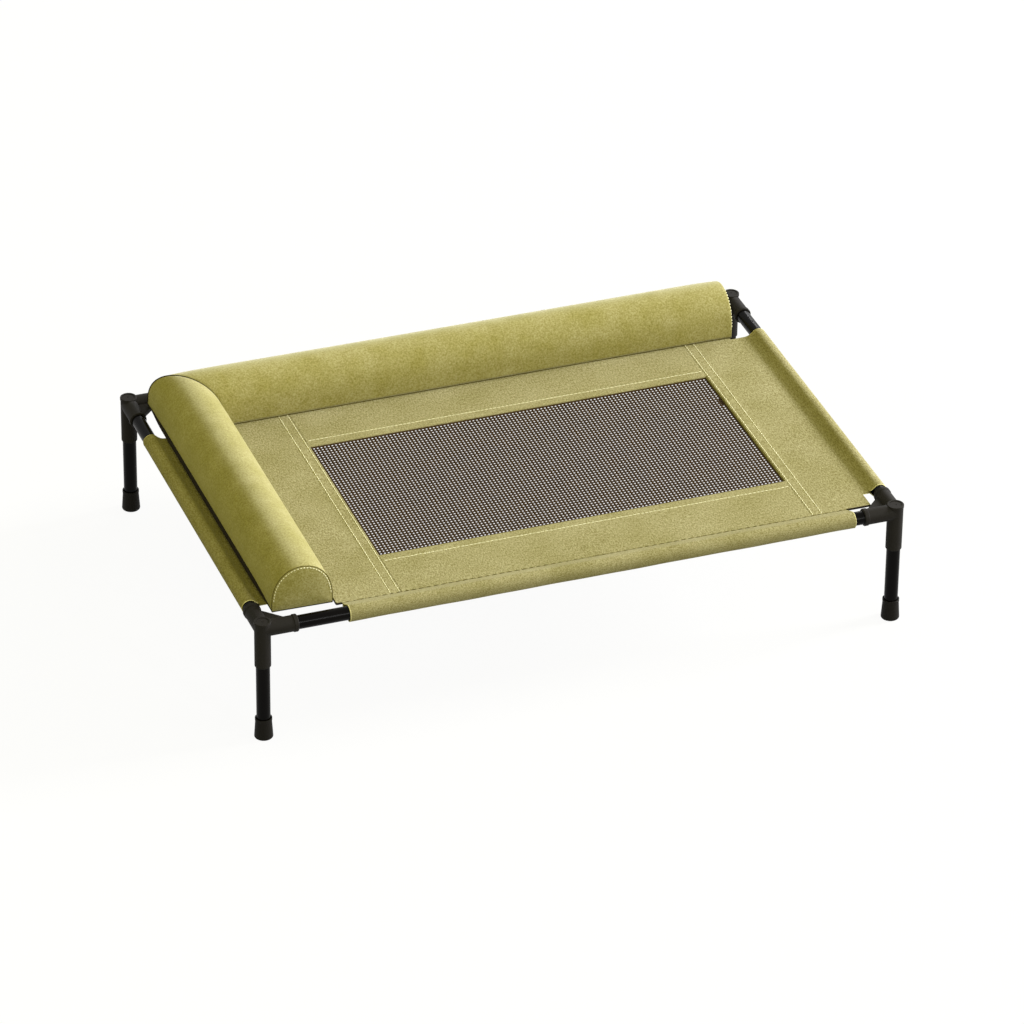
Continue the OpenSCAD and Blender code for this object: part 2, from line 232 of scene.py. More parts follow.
# White paper sweep: white to the eye with a soft trace of the shadow, and greyer for the light it throws back
def makeStudio(s):
    for name, lamp in s["lamps"].items():
        areaLamp(name + "Lamp", *lamp, s)
    white = (1.0, 1.0, 1.0, 1.0)
    world = bpy.data.worlds.new("studio")
    bpy.context.scene.world = world
    world.use_nodes = True
    tree = world.node_tree
    tree.nodes.clear()
    seen = seenDirectly(tree)
    strength = addNode(tree, "ShaderNodeMapRange", {"Value": seen, "To Min": s["ambient"], "To Max": 1.0})
    colour = addNode(tree, "ShaderNodeMix", {"Factor": seen, "A": linear(s["ambientColour"]), "B": white},
                     data_type="RGBA")
    sky = addNode(tree, "ShaderNodeBackground", {"Color": colour.outputs["Result"],
                                                 "Strength": strength.outputs[0]})
    addNode(tree, "ShaderNodeOutputWorld", {"Surface": sky.outputs[0]})

    material, tree, out = newMaterial("palePaper")
    seen = seenDirectly(tree)
    tone = addNode(tree, "ShaderNodeMix", {"Factor": seen, "A": linear(s["bounceColour"]),
                                           "B": linear(s["floorColour"])}, data_type="RGBA")
    paper = addNode(tree, "ShaderNodeBsdfDiffuse", {"Color": tone.outputs["Result"]})
    glow = addNode(tree, "ShaderNodeEmission", {"Color": white, "Strength": 1.0})
    share = addNode(tree, "ShaderNodeMath", {0: seen, 1: s["floorGlow"]}, operation="MULTIPLY")
    mix = addNode(tree, "ShaderNodeMixShader", {0: share.outputs[0], 1: paper.outputs[0], 2: glow.outputs[0]})
    tree.links.new(mix.outputs[0], out.inputs["Surface"])
    half = s["floorHalf"] / mm
    square = np.array([[-half, -half, 0], [half, -half, 0], [half, half, 0], [-half, half, 0]])
    newPiece("floor", square, [np.array([[0, 1, 2, 3]])], material)
    bpy.context.scene.view_settings.view_transform = "Standard"


makeStudio(studio)
print("studio lit")

# Finishes


# Brushed cloth: soft patches of nap, a pebbled grain drawn out along the cloth and a faint sheen
def clothMaterial(name, s):
    material, tree, out = newMaterial(name)
    place = addNode(tree, "ShaderNodeTexCoord").outputs["Object"]
    drawn = addNode(tree, "ShaderNodeMapping", {"Vector": place, "Scale": s["drawn"]}).outputs[0]
    patch, grain, pile = (
        addNode(tree, "ShaderNodeTexNoise", {"Vector": at, "Scale": 1000 / s[size], "Detail": detail,
                                             "Roughness": rough}).outputs["Fac"]
        for at, size, detail, rough in ((place, "patchMm", 3.0, 0.55), (drawn, "grainMm", 2.0, 0.6),
                                        (drawn, "pileMm", 1.0, 0.5)))
    # Most of a noise lies between 0.3 and 0.7, which becomes the full range
    broad, fine = (
        addNode(tree, "ShaderNodeMapRange", {"Value": noise, "From Min": 0.3, "From Max": 0.7}).outputs[0]
        for noise in (patch, grain))
    nap = addNode(tree, "ShaderNodeMix", {"Factor": broad, "A": linear(s["dark"]), "B": linear(s["light"])},
                  data_type="RGBA").outputs["Result"]
    speck = addNode(tree, "ShaderNodeMix", {"Factor": 1.0, "A": nap, "B": linear(s["speck"])},
                    data_type="RGBA", blend_type="MULTIPLY").outputs["Result"]
    colour = addNode(tree, "ShaderNodeMix", {"Factor": fine, "A": speck, "B": nap}, data_type="RGBA")
    height = addNode(tree, "ShaderNodeMath", {0: grain, 1: pile}, operation="ADD")
    bump = addNode(tree, "ShaderNodeBump", {"Height": height.outputs[0], "Strength": s["bump"],
                                            "Distance": s["bumpMm"] * mm})
    shader = addNode(tree, "ShaderNodeBsdfPrincipled", {
        "Base Color": colour.outputs["Result"], "Roughness": s["roughness"], "IOR": 1.46,
        "Specular IOR Level": s["gloss"], "Sheen Weight": s["sheen"], "Sheen Roughness": s["sheenRough"],
        "Sheen Tint": linear(s["sheenTint"]), "Normal": bump.outputs[0]})
    tree.links.new(shader.outputs[0], out.inputs["Surface"])
    return material


# Moulded, coated or spun surface: a colour that drifts a little, uneven roughness and a fine texture
def plainMaterial(name, s):
    material, tree, out = newMaterial(name)
    place = addNode(tree, "ShaderNodeTexCoord").outputs["Object"]
    skin, wear = (addNode(tree, "ShaderNodeTexNoise", {"Vector": place, "Scale": 1000 / s[size],
                                                       "Detail": detail}).outputs["Fac"]
                  for size, detail in (("skinMm", 2.0), ("wearMm", 3.0)))
    colour = addNode(tree, "ShaderNodeMix", {"Factor": wear, "A": linear(s["dark"]), "B": linear(s["light"])},
                     data_type="RGBA")
    low, high = s["rough"]
    rough = addNode(tree, "ShaderNodeMapRange", {"Value": wear, "To Min": low, "To Max": high})
    bump = addNode(tree, "ShaderNodeBump", {"Height": skin, "Strength": s["bump"],
                                            "Distance": s["bumpMm"] * mm})
    shader = addNode(tree, "ShaderNodeBsdfPrincipled", {
        "Base Color": colour.outputs["Result"], "Roughness": rough.outputs[0], "IOR": 1.5,
        "Specular IOR Level": s["gloss"], "Normal": bump.outputs[0]})
    tree.links.new(shader.outputs[0], out.inputs["Surface"])
    return material


clothFinishes = {
    # Microfibre bed cloth: the grain is coarser than the real nap, so that it shows, and runs front to back
    "brushedMicrofibre": {
        "dark": "#9E9974", "light": "#ADA88A", "speck": "#B9B292", "patchMm": 45, "grainMm": 1.4,
        "pileMm": 0.8, "drawn": (1.0, 0.5, 2.0), "bump": 0.6, "bumpMm": 0.35, "roughness": 0.85,
        "gloss": 0.08, "sheen": 0.1, "sheenRough": 0.4, "sheenTint": "#FFFDF2"},
    # Short-pile suede of the bolster: deeper colour, broad brushed patches and more sheen
    "shortPileSuede": {
        "dark": "#9E9860", "light": "#AEA87E", "speck": "#CFCAA8", "patchMm": 26, "grainMm": 1.8,
        "pileMm": 0.9, "drawn": (1.0, 1.0, 1.0), "bump": 0.35, "bumpMm": 0.3, "roughness": 0.7,
        "gloss": 0.04, "sheen": 0.45, "sheenRough": 0.45, "sheenTint": "#FFFFF8"},
}
plainFinishes = {
    # Black powder coat on steel tube: gloss with a fine orange peel
    "blackPowderCoat": {
        "dark": "#040303", "light": "#090706", "skinMm": 1.6, "wearMm": 30, "rough": (0.2, 0.3),
        "bump": 0.1, "bumpMm": 0.1, "gloss": 0.06},
    # Moulded nylon of the corner connectors: satin charcoal with a spark-eroded texture
    "satinNylon": {
        "dark": "#1F1D1D", "light": "#272525", "skinMm": 0.9, "wearMm": 18, "rough": (0.52, 0.65),
        "bump": 0.25, "bumpMm": 0.12, "gloss": 0.07},
    # Moulded rubber feet: matt, nearly black
    "mattRubber": {
        "dark": "#13110F", "light": "#1B1917", "skinMm": 1.2, "wearMm": 12, "rough": (0.5, 0.65),
        "bump": 0.3, "bumpMm": 0.15, "gloss": 0.08},
    # Coated polyester yarn of the net: dark brown, slightly waxy
    "coatedYarn": {
        "dark": "#291C0A", "light": "#392810", "skinMm": 1.0, "wearMm": 25, "rough": (0.5, 0.65),
        "bump": 0.2, "bumpMm": 0.1, "gloss": 0.06},
    # Spun sewing thread: pale on the faces; the dark one is painted shade, in the crease between the bed and
    # the bands, round the front end's rim and along the bolster's inner feet
    "paleThread": {
        "dark": "#E6E2C4", "light": "#F4F1DA", "skinMm": 0.5, "wearMm": 8, "rough": (0.5, 0.65),
        "bump": 0.3, "bumpMm": 0.1, "gloss": 0.3},
    "paintedShadeThread": {
        "dark": "#4A431A", "light": "#5A5223", "skinMm": 0.5, "wearMm": 8, "rough": (0.6, 0.75),
        "bump": 0.3, "bumpMm": 0.1, "gloss": 0.2},
    # Edges: pale beads at the sleeves' cut ends, a dark strip at the front corners, and the same dark colour
    # as painted shade along the bolster's seams and feet
    "cutClothEdge": {
        "dark": "#CFC894", "light": "#E0DAB0", "skinMm": 0.8, "wearMm": 6, "rough": (0.8, 0.95),
        "bump": 0.4, "bumpMm": 0.2, "gloss": 0.2},
    "darkStripAndPaintedShade": {
        "dark": "#1A1509", "light": "#272112", "skinMm": 0.8, "wearMm": 6, "rough": (0.8, 0.95),
        "bump": 0.4, "bumpMm": 0.2, "gloss": 0.15},
    # Woven tape: loops are soft and grey, hooks are harder
    "loopTape": {
        "dark": "#3D3C36", "light": "#57564F", "skinMm": 1.1, "wearMm": 2.5, "rough": (0.8, 0.95),
        "bump": 0.9, "bumpMm": 0.6, "gloss": 0.2},
    "hookTape": {
        "dark": "#34332E", "light": "#4A4942", "skinMm": 1.4, "wearMm": 3.0, "rough": (0.45, 0.6),
        "bump": 0.9, "bumpMm": 0.5, "gloss": 0.4},
}
finish = {name: clothMaterial(name, s) for name, s in clothFinishes.items()}
finish.update({name: plainMaterial(name, s) for name, s in plainFinishes.items()})

frameFinish = {"rail": "blackPowderCoat", "leg": "blackPowderCoat", "connector": "satinNylon",
               "foot": "mattRubber"}
for name, node in nodes.items():
    kind = name.split("_")[0]
    if kind in frameFinish:
        node.data.materials.clear()
        node.data.materials.append(finish[frameFinish[kind]])
print("finishes made")

# Bed cover
cover = {
    "step": 2.6, "fillet": 14.0, "filletPoints": 9, "tubePoints": 46, "liftFade": (4.0, 8.0),
    "lapFillet": 3.0, "lapDrop": 0.4, "lapPoints": 6, "bead": 0.5, "beadFrom": 4,
    "rowInner": 2.0, "rowOuter": 11.0, "rowAcross": 10.0, "dip": 0.12, "dipWide": 1.0,
    "pucker": 0.25, "puckerPitch": 4.2, "hemRise": 0.3, "hemWide": 13.0, "hemFade": 2.0, "rollFade": 1.0,
    "crease": 0.75, "creaseWide": 1.1, "gather": 0.25, "gatherPitch": 7.3,
    "wave": 0.12, "waveLong": (41.0, 37.0), "wavePhase": (1.3, 0.4),
    "ripple": 0.6, "rippleLong": (19.0, 27.0),
}
sleeveRadius = cot["tubeRadius"] + cot["sleeveGap"] + cot["clothThick"] / 2
bedMiddle = cot["clothThick"] / 2
meshLeft, meshRight = cot["meshX"]
meshFront, meshBack = cot["meshY"]
sideRows = (meshLeft - cover["rowOuter"], meshLeft - cover["rowInner"],
            meshRight + cover["rowInner"], meshRight + cover["rowOuter"])
crossRows = (meshFront - cover["rowAcross"], meshBack + cover["rowAcross"])


# 1 beside the mesh window and 0 beyond its front and back edges
def besideMesh(y):
    fade = cover["rollFade"]
    return ease(meshFront - fade, meshFront, y) * (1 - ease(meshBack, meshBack + fade, y))


# Height of the bed cloth over its flat plane: slow waves, a hem that stands up beside the mesh,
# a bell-shaped dip along each row of stitches, and a roll down into the front and back seams
def bedLift(x, y):
    s = cover
    (longX, longY), (phaseX, phaseY), (rippleX, rippleY) = s["waveLong"], s["wavePhase"], s["rippleLong"]
    slow = np.sin(x / longX + phaseX) * np.sin(y / longY + phaseY)
    z = s["wave"] * (slow + s["ripple"] * np.sin(x / rippleX - y / rippleY))
    for edge, side in ((meshLeft, -1), (meshRight, 1)):
        away = side * (x - edge)
        outer = ease(s["hemWide"] - s["hemFade"], s["hemWide"] + s["hemFade"], away)
        hem = s["hemRise"] * (1 - outer) * (away > -hair / 2)
        z = z + hem * besideMesh(y)
    pucker = 1 + s["pucker"] * np.cos(2 * np.pi * y / s["puckerPitch"])
    for row in sideRows:
        z = z - s["dip"] * pucker * np.exp(-((x - row) / s["dipWide"]) ** 2)
    within = (x > meshLeft) & (x < meshRight)
    for row in crossRows:
        z = z - s["dip"] * within * np.exp(-((y - row) / s["dipWide"]) ** 2)
    gathers = 1 - s["gather"] + s["gather"] * np.sin(2 * np.pi * x / s["gatherPitch"])
    return z - s["crease"] * gathers * np.exp(-(seamY - np.abs(y)) / s["creaseWide"])


# Line of a sleeve's flank as distance from and height over the rail axis: it leaves the tube at 45 degrees
# and meets a level with a hollow fillet; gives the line and where the level starts
def flankLine(level, fillet, side):
    half = math.pi / 4
    t = np.linspace(0, half, cover["filletPoints"])
    run = sleeveRadius * math.cos(half) - level
    start = sleeveRadius * math.sin(half) + run + fillet * math.tan(half / 2)
    return np.stack([start - fillet * np.sin(t), side * (level + fillet - fillet * np.cos(t))], -1), start


# Line of a wrapped side: bed, fillet, flank, round over the tube, lower flank and a lap under the bed;
# gives the line, how many of its points lie on top and where the flat bed ends
def wrappedLine(bedLines):
    upper, flatEnd = flankLine(bedMiddle, cover["fillet"], 1)
    lower, lapStart = flankLine(cover["lapDrop"], cover["lapFillet"], -1)
    turn = np.radians(np.linspace(45, 315, cover["tubePoints"]))
    ring = sleeveRadius * np.stack([np.cos(turn), np.sin(turn)], -1)
    flat = bedLines[bedLines > flatEnd + lineGap][::-1]
    lap = np.linspace(lapStart, lapStart + cot["seamLap"], cover["lapPoints"])[1:]
    parts = [np.stack([flat, np.full_like(flat, bedMiddle)], -1), upper, ring, lower[::-1],
             np.stack([lap, np.full_like(lap, -cover["lapDrop"])], -1)]
    return np.concatenate(parts), len(flat) + len(upper), flatEnd


# Length of a line of points
def lineLength(line):
    return float(np.linalg.norm(np.diff(line, axis=0), axis=1).sum())


# Area of quads, as two triangles each
def surfaceArea(points, quads):
    a, b, c, d = (points[quads[:, i]] for i in range(4))
    cross = np.linalg.norm(np.cross(b - a, c - a), axis=1) + np.linalg.norm(np.cross(c - a, d - a), axis=1)
    return float(cross.sum() / 2)


# Cloth of the bed: a sheet with its thickness on both sides of its middle; the flat size it was cut to is not
# used
def bedSheet(name, node, points, quads, flat, restsOn, **cut):
    piece = settle(newPiece(name, points, [quads], finish["brushedMicrofibre"]), "cot", "bed_cloth", node)
    wall = piece.modifiers.new("thickness", "SOLIDIFY")
    wall.thickness, wall.offset, wall.use_even_offset = cot["clothThick"] * mm, 0.0, False


# Rolled edge of the cloth at the mesh: how far its lines go past the window's edge, and how far down
rollOut = np.array([0.3, 0.45, 0.45])
rollDown = np.array([0.35, 0.9, 1.6])


# Side panel: the wrapped line carried along the bed, with its corners cut out; side is -1 left, 1 right
def sidePanel(name, node, side, reach, rows, frontCut, backCut):
    fineAt = [reach, frontCut, backCut] + [cot["legX"] - side * row for row in rows]
    line, topCount, flatEnd = wrappedLine(gridLines(0, reach, cover["step"], fineAt))
    roll = np.stack([reach + rollOut, bedMiddle - rollDown], -1)[::-1]
    line, topCount = np.concatenate([roll, line]), topCount + len(roll)
    y = gridLines(-seamY, seamY, cover["step"], [cot["sideFront"], cot["sideBack"], -seamY, seamY])[None, :]
    u, w = line[:, :1], line[:, 1:]
    onTop = (np.arange(len(line)) < topCount)[:, None]
    # Beyond the mesh's front and back edges, the rolled edge lies flat in the bed
    beyond = np.clip(u - reach, 0, None) * (1 - besideMesh(y))
    x = side * (cot["legX"] - u + beyond)
    w = w + np.where(u > reach, (bedMiddle - w) * (1 - besideMesh(y)), 0)
    before, after = cover["liftFade"]
    flatShare = ease(flatEnd - before, flatEnd + after, u) * onTop
    z = cot["railZ"] + w + bedLift(x, y) * flatShare
    points = np.stack([x, y + 0 * u, z], -1).reshape(-1, 3)
    quads = gridQuads(len(line), y.size)[:, ::side]
    # A face goes where its middle lies in a corner that is cut, or beyond the sleeve below the bed
    midU = (u[:-1] + u[1:]) / 2
    midY = (y[:, :-1] + y[:, 1:]) / 2
    below = ~onTop[1:]
    cut = (midY < cot["sideFront"]) & (below | (midU < frontCut))
    cut |= (midY > cot["sideBack"]) & (below | (midU < backCut))
    used, quads = np.unique(quads[~cut.ravel()], return_inverse=True)
    points, quads = points[used], quads.reshape(-1, 4)
    area = surfaceArea(points, quads)
    bedSheet(name, node, points, quads, (lineLength(line), 2 * seamY),
             "rail_left" if side < 0 else "rail_right", area=area * mm * mm)
    print(name, "cut to", round(area / 100), "cm2")
    # Pale bead round each cut end of the sleeve, from the last points of the fillet to the lap
    u, w = line[topCount - cover["beadFrom"]:].T
    ends = [np.stack([side * (cot["legX"] - u), np.full_like(u, at), cot["railZ"] + w], -1)
            for at in (cot["sideFront"], cot["sideBack"])]
    return [beadRings(end, backWay, cover["bead"]) for end in ends]


beads = sidePanel("bedPanelLeft", "cover_left_panel", -1, cot["legX"] + meshLeft, sideRows[:2],
                  cot["notchLeft"], cot["notchLeft"])
beads += sidePanel("bedPanelRight", "cover_right_panel", 1, cot["legX"] - meshRight, sideRows[2:],
                   cot["cornerSet"], cot["notchRight"])


# Cloth strip between a seam and the mesh: a flat grid that follows the bed's lift, rolled down at the mesh;
# side is -1 front, 1 back
def crossStrip(name, node, side, meshEdge, stitches):
    seam = side * seamY
    low, high = sorted((seam, meshEdge))
    rows = gridLines(low, high, cover["step"], [seam, meshEdge, stitches])[::-side]
    drop = np.concatenate([0 * rows, rollDown])
    x, y = np.meshgrid(gridLines(meshLeft, meshRight, cover["step"], [meshLeft, meshRight]),
                       np.concatenate([rows, meshEdge - side * rollOut]), indexing="ij")
    inside = np.clip(x, meshLeft + hair, meshRight - hair)
    z = cot["railZ"] + bedMiddle + bedLift(inside, y) - drop
    points = np.stack([x, y, z], -1).reshape(-1, 3)
    flat = (meshRight - meshLeft, abs(seam - meshEdge) + rollDown[-1])
    bedSheet(name, node, points, gridQuads(*x.shape)[:, ::side], flat, "cover_mesh")


crossStrip("bedStripFront", "cover_front_strip", -1, meshFront, crossRows[0])
crossStrip("bedStripBack", "cover_back_strip", 1, meshBack, crossRows[1])

# Bands round the long rails; loose gives two slow waves along a band as share, length and phase
band = {
    "step": 3.2, "upper": -0.25, "lower": -1.2, "lapSet": 0.2, "fold": 0.3, "sag": 1.2, "sagPower": 1.5,
    "ringPoints": 60, "flankPoints": 12, "lapPoints": 8, "onTube": 3.0,
    "loose": ((0.012, 23.0, 0.0), (0.01, 9.1, 2.0)),
}


# Band round a long rail: a lap under the bed, taut from the seam to the tube, round it with a slack
# underside, taut back to the same seam, and a second lap; side is -1 front, 1 back
def railBand(name, node, side, s):
    seamU = cot["seamSet"]
    away = math.acos(sleeveRadius / seamU)
    turn = np.linspace(away, 2 * np.pi - away, s["ringPoints"])
    radius = sleeveRadius + s["sag"] * np.clip(-np.sin(turn), 0, 1) ** s["sagPower"]
    ring = radius[:, None] * np.stack([np.cos(turn), np.sin(turn)], -1)
    share = np.linspace(0, 1, s["flankPoints"])[:, None]
    lap = np.linspace(seamU + cot["seamLap"], seamU + s["fold"], s["lapPoints"])
    rise = np.array([seamU - s["fold"], s["upper"]]) * (1 - share) + ring[0] * share
    fall = ring[-1] * (1 - share) + np.array([seamU, s["lower"]]) * share
    line = np.concatenate([np.stack([lap, np.full_like(lap, s["upper"] - s["lapSet"])], -1), rise, ring[1:-1],
                           fall, np.stack([lap[::-1], np.full_like(lap, s["lower"])], -1)])
    x = gridLines(cot["bandLeft"], cot["bandRight"], s["step"], [cot["bandLeft"], cot["bandRight"]])[None, :]
    u, w = line[:, :1], line[:, 1:]
    onTube = np.hypot(u, w) < sleeveRadius + s["onTube"]
    loose = 1 + onTube * sum(part * np.sin(x / length + phase) for part, length, phase in s["loose"])
    points = np.stack([x + 0 * u, side * (cot["legY"] - u * loose), cot["railZ"] + w * loose], -1)
    quads = gridQuads(len(line), x.size)[:, ::-side]
    flat = (lineLength(line), cot["bandRight"] - cot["bandLeft"])
    bedSheet(name, node, points.reshape(-1, 3), quads, flat, "rail_front" if side < 0 else "rail_back")
    lapEnd = s["lapPoints"] + 1
    return [beadRings(points[lapEnd:-lapEnd, k], rightWay, cover["bead"]) for k in (0, -1)]


beads += railBand("frontBand", "cover_front_sleeve", -1, band)
beads += railBand("backBand", "cover_back_sleeve", 1, band)

# Dark strip along the free edges of the front corners
trim = {"radius": 1.0, "below": 0.1, "past": 0.5, "underArm": 6.0, "points": 14}


# Pale beads on the cut ends of all sleeves, and straight runs of the dark strip from corner to corner
def edgeTrim(s):
    settle(newPiece("sleeveEdges", *joinLofts(beads), finish["cutClothEdge"]), "cot", "bed_cloth")
    z = cot["railZ"] - s["below"]
    corner, notch = cot["legX"] - cot["cornerSet"], cot["notchLeft"] - cot["legX"]
    corners = [[(cot["bandRight"] + s["past"], -seamY), (corner, -seamY)],
               [(notch, cot["sideFront"] - s["underArm"]), (notch, -seamY)],
               [(notch, -seamY), (cot["bandLeft"] - s["past"], -seamY)]]
    lines = [np.linspace((*a, z), (*b, z), s["points"]) for a, b in corners]
    tapes = joinLofts([beadRings(line, upWay, s["radius"]) for line in lines])
    settle(newPiece("cornerDarkStrip", *tapes, finish["darkStripAndPaintedShade"]), "cot", "bed_cloth")


edgeTrim(trim)
print("bed cover made")

# Net
net = {
    "pitchX": 3.75, "pitchY": 4.12, "wideX": 2.26, "wideY": 2.58, "thick": 0.7, "wave": 0.1, "middle": -0.7,
    "hem": 11.0, "hemThick": 0.5, "edge": 1.5,
    # The dark hem shows 0.5 mm at the left and front; its wider border at the back and the right is painted
    # shade under the cloth's edges
    "hemShowsAndShade": {"left": 0.5, "right": 1.2, "front": 0.5, "back": 3.0},
}


# Rings of a flattened yarn: a diamond section of the given width and thickness carried along a line
def yarnPoints(centre, across, wide, thick):
    ring = np.array([[1, 0], [0, 1], [-1, 0], [0, -1]]) / 2
    flat = centre[:, :, None, :] + np.asarray(across) * (ring[:, 0] * wide)[None, None, :, None]
    flat[..., 2] += (ring[:, 1] * thick)[None, None, :]
    return flat


# Yarns of one direction: their places, the points along them, and a wave over and under the crossing yarns
def yarnLines(places, along, crossing, height):
    parity = (-1.0) ** np.arange(len(places))[:, None]
    wave = height * parity * np.cos(np.pi * (along[None, :] - crossing[0]) / (crossing[1] - crossing[0]))
    return places[:, None] + 0 * wave, along[None, :] + 0 * wave, wave


# Closed tubes of many yarns at once: quads round and along each, and a cap at both ends
def yarnFaces(count, steps, first):
    start = first + np.arange(count)[:, None, None] * steps * 4
    k = np.arange(steps - 1)[None, :, None] * 4
    i = np.arange(4)[None, None, :]
    j = (i + 1) % 4
    quads = np.stack([start + k + i, start + k + 4 + i, start + k + 4 + j, start + k + j], -1).reshape(-1, 4)
    low = start[:, 0, 0][:, None] + np.array([0, 1, 2, 3])
    high = start[:, 0, 0][:, None] + (steps - 1) * 4 + np.array([3, 2, 1, 0])
    return np.concatenate([quads, low, high])


# Net of two sets of yarns that pass over and under each other, on a flat woven hem
def makeNet(s):
    zMid = cot["railZ"] + s["middle"]
    countX = int(round((meshRight - meshLeft) / s["pitchX"]))
    countY = int(round((meshBack - meshFront) / s["pitchY"]))
    xs = meshLeft + (np.arange(countX) + 0.5) * (meshRight - meshLeft) / countX
    ys = meshFront + (np.arange(countY) + 0.5) * (meshBack - meshFront) / countY
    alongY = np.linspace(meshFront - s["edge"], meshBack + s["edge"], 2 * countY + 1)
    alongX = np.linspace(meshLeft - s["edge"], meshRight + s["edge"], 2 * countX + 1)
    x, y, wave = yarnLines(xs, alongY, ys, s["wave"])
    a = yarnPoints(np.stack([x, y, zMid + wave], -1), rightWay, s["wideX"], s["thick"])
    y, x, wave = yarnLines(ys, alongX, xs, -s["wave"])
    b = yarnPoints(np.stack([x, y, zMid + wave], -1), backWay, s["wideY"], s["thick"])
    aFaces = yarnFaces(countX, len(alongY), 0)
    bFaces = yarnFaces(countY, len(alongX), a.size // 3)[:, ::-1]
    # Hem: a flat frame of four rings of corners, outer and inner, top and bottom
    half, hem, shows = s["hemThick"] / 2, s["hem"], s["hemShowsAndShade"]
    spans = [(meshLeft - hem, meshRight + hem, meshFront - hem, meshBack + hem),
             (meshLeft + shows["left"], meshRight - shows["right"],
              meshFront + shows["front"], meshBack - shows["back"])]
    outer, inner = (np.array([[x0, y0], [x1, y0], [x1, y1], [x0, y1]]) for x0, x1, y0, y1 in spans)
    levels = [(outer, half), (inner, half), (inner, -half), (outer, -half)]
    hemPoints = np.concatenate([np.column_stack([ring, np.full(4, zMid + h)]) for ring, h in levels])
    first = (a.size + b.size) // 3
    k, i = np.arange(4)[:, None] * 4, np.arange(4)[None, :]
    nextK, j = (k + 4) % 16, (i + 1) % 4
    hemFaces = first + np.stack([k + i, k + j, nextK + j, nextK + i], -1).reshape(-1, 4)
    points = np.concatenate([a.reshape(-1, 3), b.reshape(-1, 3), hemPoints])
    piece = newPiece("meshNet", points, [aFaces, bFaces, hemFaces], finish["coatedYarn"])
    settle(piece, "cot", "mesh", "cover_mesh")


makeNet(net)

# Bolster: lengths in millimetres; cloth has the settings of the air-pressure simulation
bolster = {
    "width": 60.0, "height": 45.5, "skin": 1.0, "swell": 2.4, "sink": 2.0, "fade": 12.0,
    "drape": 2.5, "outerDrape": {"left": 1.5, "back": -0.6}, "cornerClear": 12.0,
    "footTurn": 4, "baseTurn": 6,
    "midX": -274.5, "midY": 173.4, "endY": -193.9, "endX": 292.9, "baseZ": 124.5,
    "ringStep": 5.0, "arcPoints": 33, "basePoints": 13, "besideSeam": (0.5, 1.1, 1.9, 3.0), "clearSeam": 1.3,
    "slack": 0.5, "slackFade": 6.0, "frames": 20, "cap": 3.0, "evenOut": 10,
    "cloth": {"quality": 6, "mass": 0.3, "vertex_group_mass": "seams", "tension_stiffness": 20.0,
              "compression_stiffness": 20.0, "shear_stiffness": 8.0, "bending_stiffness": 2.0,
              "use_pressure": True, "uniform_pressure_force": 4.0},
    "seamDeep": 0.9, "seamWide": 1.2, "edgeDeep": 0.5, "edgeWide": 1.0, "grooveEnd": 6,
    "endRings": (0.12, 0.3, 0.5, 0.7, 0.85, 0.94, 0.985), "puff": 2.0, "puffPower": 4, "middleUp": 0.42,
    "seamCrease": 0.9, "footCrease": 0.5, "fill": 0.85,
    # Radii of the beads of painted shade: over the mitre, round the front end's rim, under the front end and
    # along the inner and outer feet
    "mitreShade": 1.0, "mitreWay": (0.7071, 0.7071, 0.0), "rim": 0.36, "endFoot": 0.6, "innerFoot": 0.45,
    "outerFoot": {"left": 3.0, "back": 0.9}, "beadUp": (0.0, 0.0, 0.85), "taper": 60.0, "blunt": 15.0,
}
reaches = {"left": bolster["midY"] - bolster["endY"], "back": bolster["endX"] - bolster["midX"]}
endMiddleZ = bolster["baseZ"] + bolster["height"] * bolster["middleUp"]
archTurn = np.linspace(0, np.pi, bolster["arcPoints"])
ringCount = bolster["arcPoints"] + bolster["basePoints"]


# Section of an arm as closed rings of across and up: an arch whose sides swell past the base and turn in
# at its foot, then a base that drapes at both edges and, close to an end, all along; drop sinks the crown,
# inset draws the arch in, and the drape runs evenly from the inner edge's to the outer edge's
def bolsterSection(drop, inset, outer):
    s = bolster
    drop, outer = drop[:, None], outer[:, None]
    rise = np.sin(archTurn)[None, :]
    archX = (s["width"] / 2 - inset) * np.cos(archTurn)[None, :]
    archX = archX + s["swell"] * np.sin(2 * archTurn)[None, :] + 0 * drop
    t = np.linspace(-1, 1, s["basePoints"] + 2)[None, 1:-1]
    baseX = s["width"] / 2 * t + 0 * drop
    archDrape, baseDrape = (outer + (s["drape"] - outer) * np.clip(0.5 + x / s["width"], 0, 1)
                            for x in (archX, baseX))
    archZ = s["skin"] + (s["height"] - s["skin"] - drop - inset) * rise
    archZ = archZ - (s["skin"] + archDrape) * (1 - rise) ** s["footTurn"]
    atEnd = (drop / s["sink"]) ** 2
    baseZ = -baseDrape * (atEnd + (1 - atEnd) * np.abs(t) ** s["baseTurn"])
    return np.concatenate([archX, baseX], 1), np.concatenate([archZ, baseZ], 1)


# How far a mark along an arm lies from the arm's nearest end, and how far the crown sinks there
def nearAndDrop(mark, reach):
    near = np.minimum(mark, 1 - mark) * reach
    return near, bolster["sink"] * np.exp(-near / bolster["fade"])


# Slack of the cover at marks along an arm: full in the middle, and none at its seams
def slackAt(mark, reach):
    return bolster["slack"] * (1 - np.exp(-nearAndDrop(mark, reach)[0] / bolster["slackFade"]))[:, None]


# Rings of an arm as world points from its free end to the mitre: each point's length ends on the slanted
# plane, and the outer edge's drape fades out towards the corner, to clear the connector below it
def armRings(mark, inset, arm):
    b, reach = bolster, reaches[arm]
    outer = b["outerDrape"][arm] * ease(b["cornerClear"], 3 * b["cornerClear"], (1 - mark) * reach)
    across, up = bolsterSection(nearAndDrop(mark, reach)[1], inset, outer)
    along = mark[:, None] * (reach - across)
    if arm == "left":
        return np.stack([b["midX"] + across, b["endY"] + along, b["baseZ"] + up], -1)
    return np.stack([b["endX"] - along, b["midY"] - across, b["baseZ"] + up], -1)


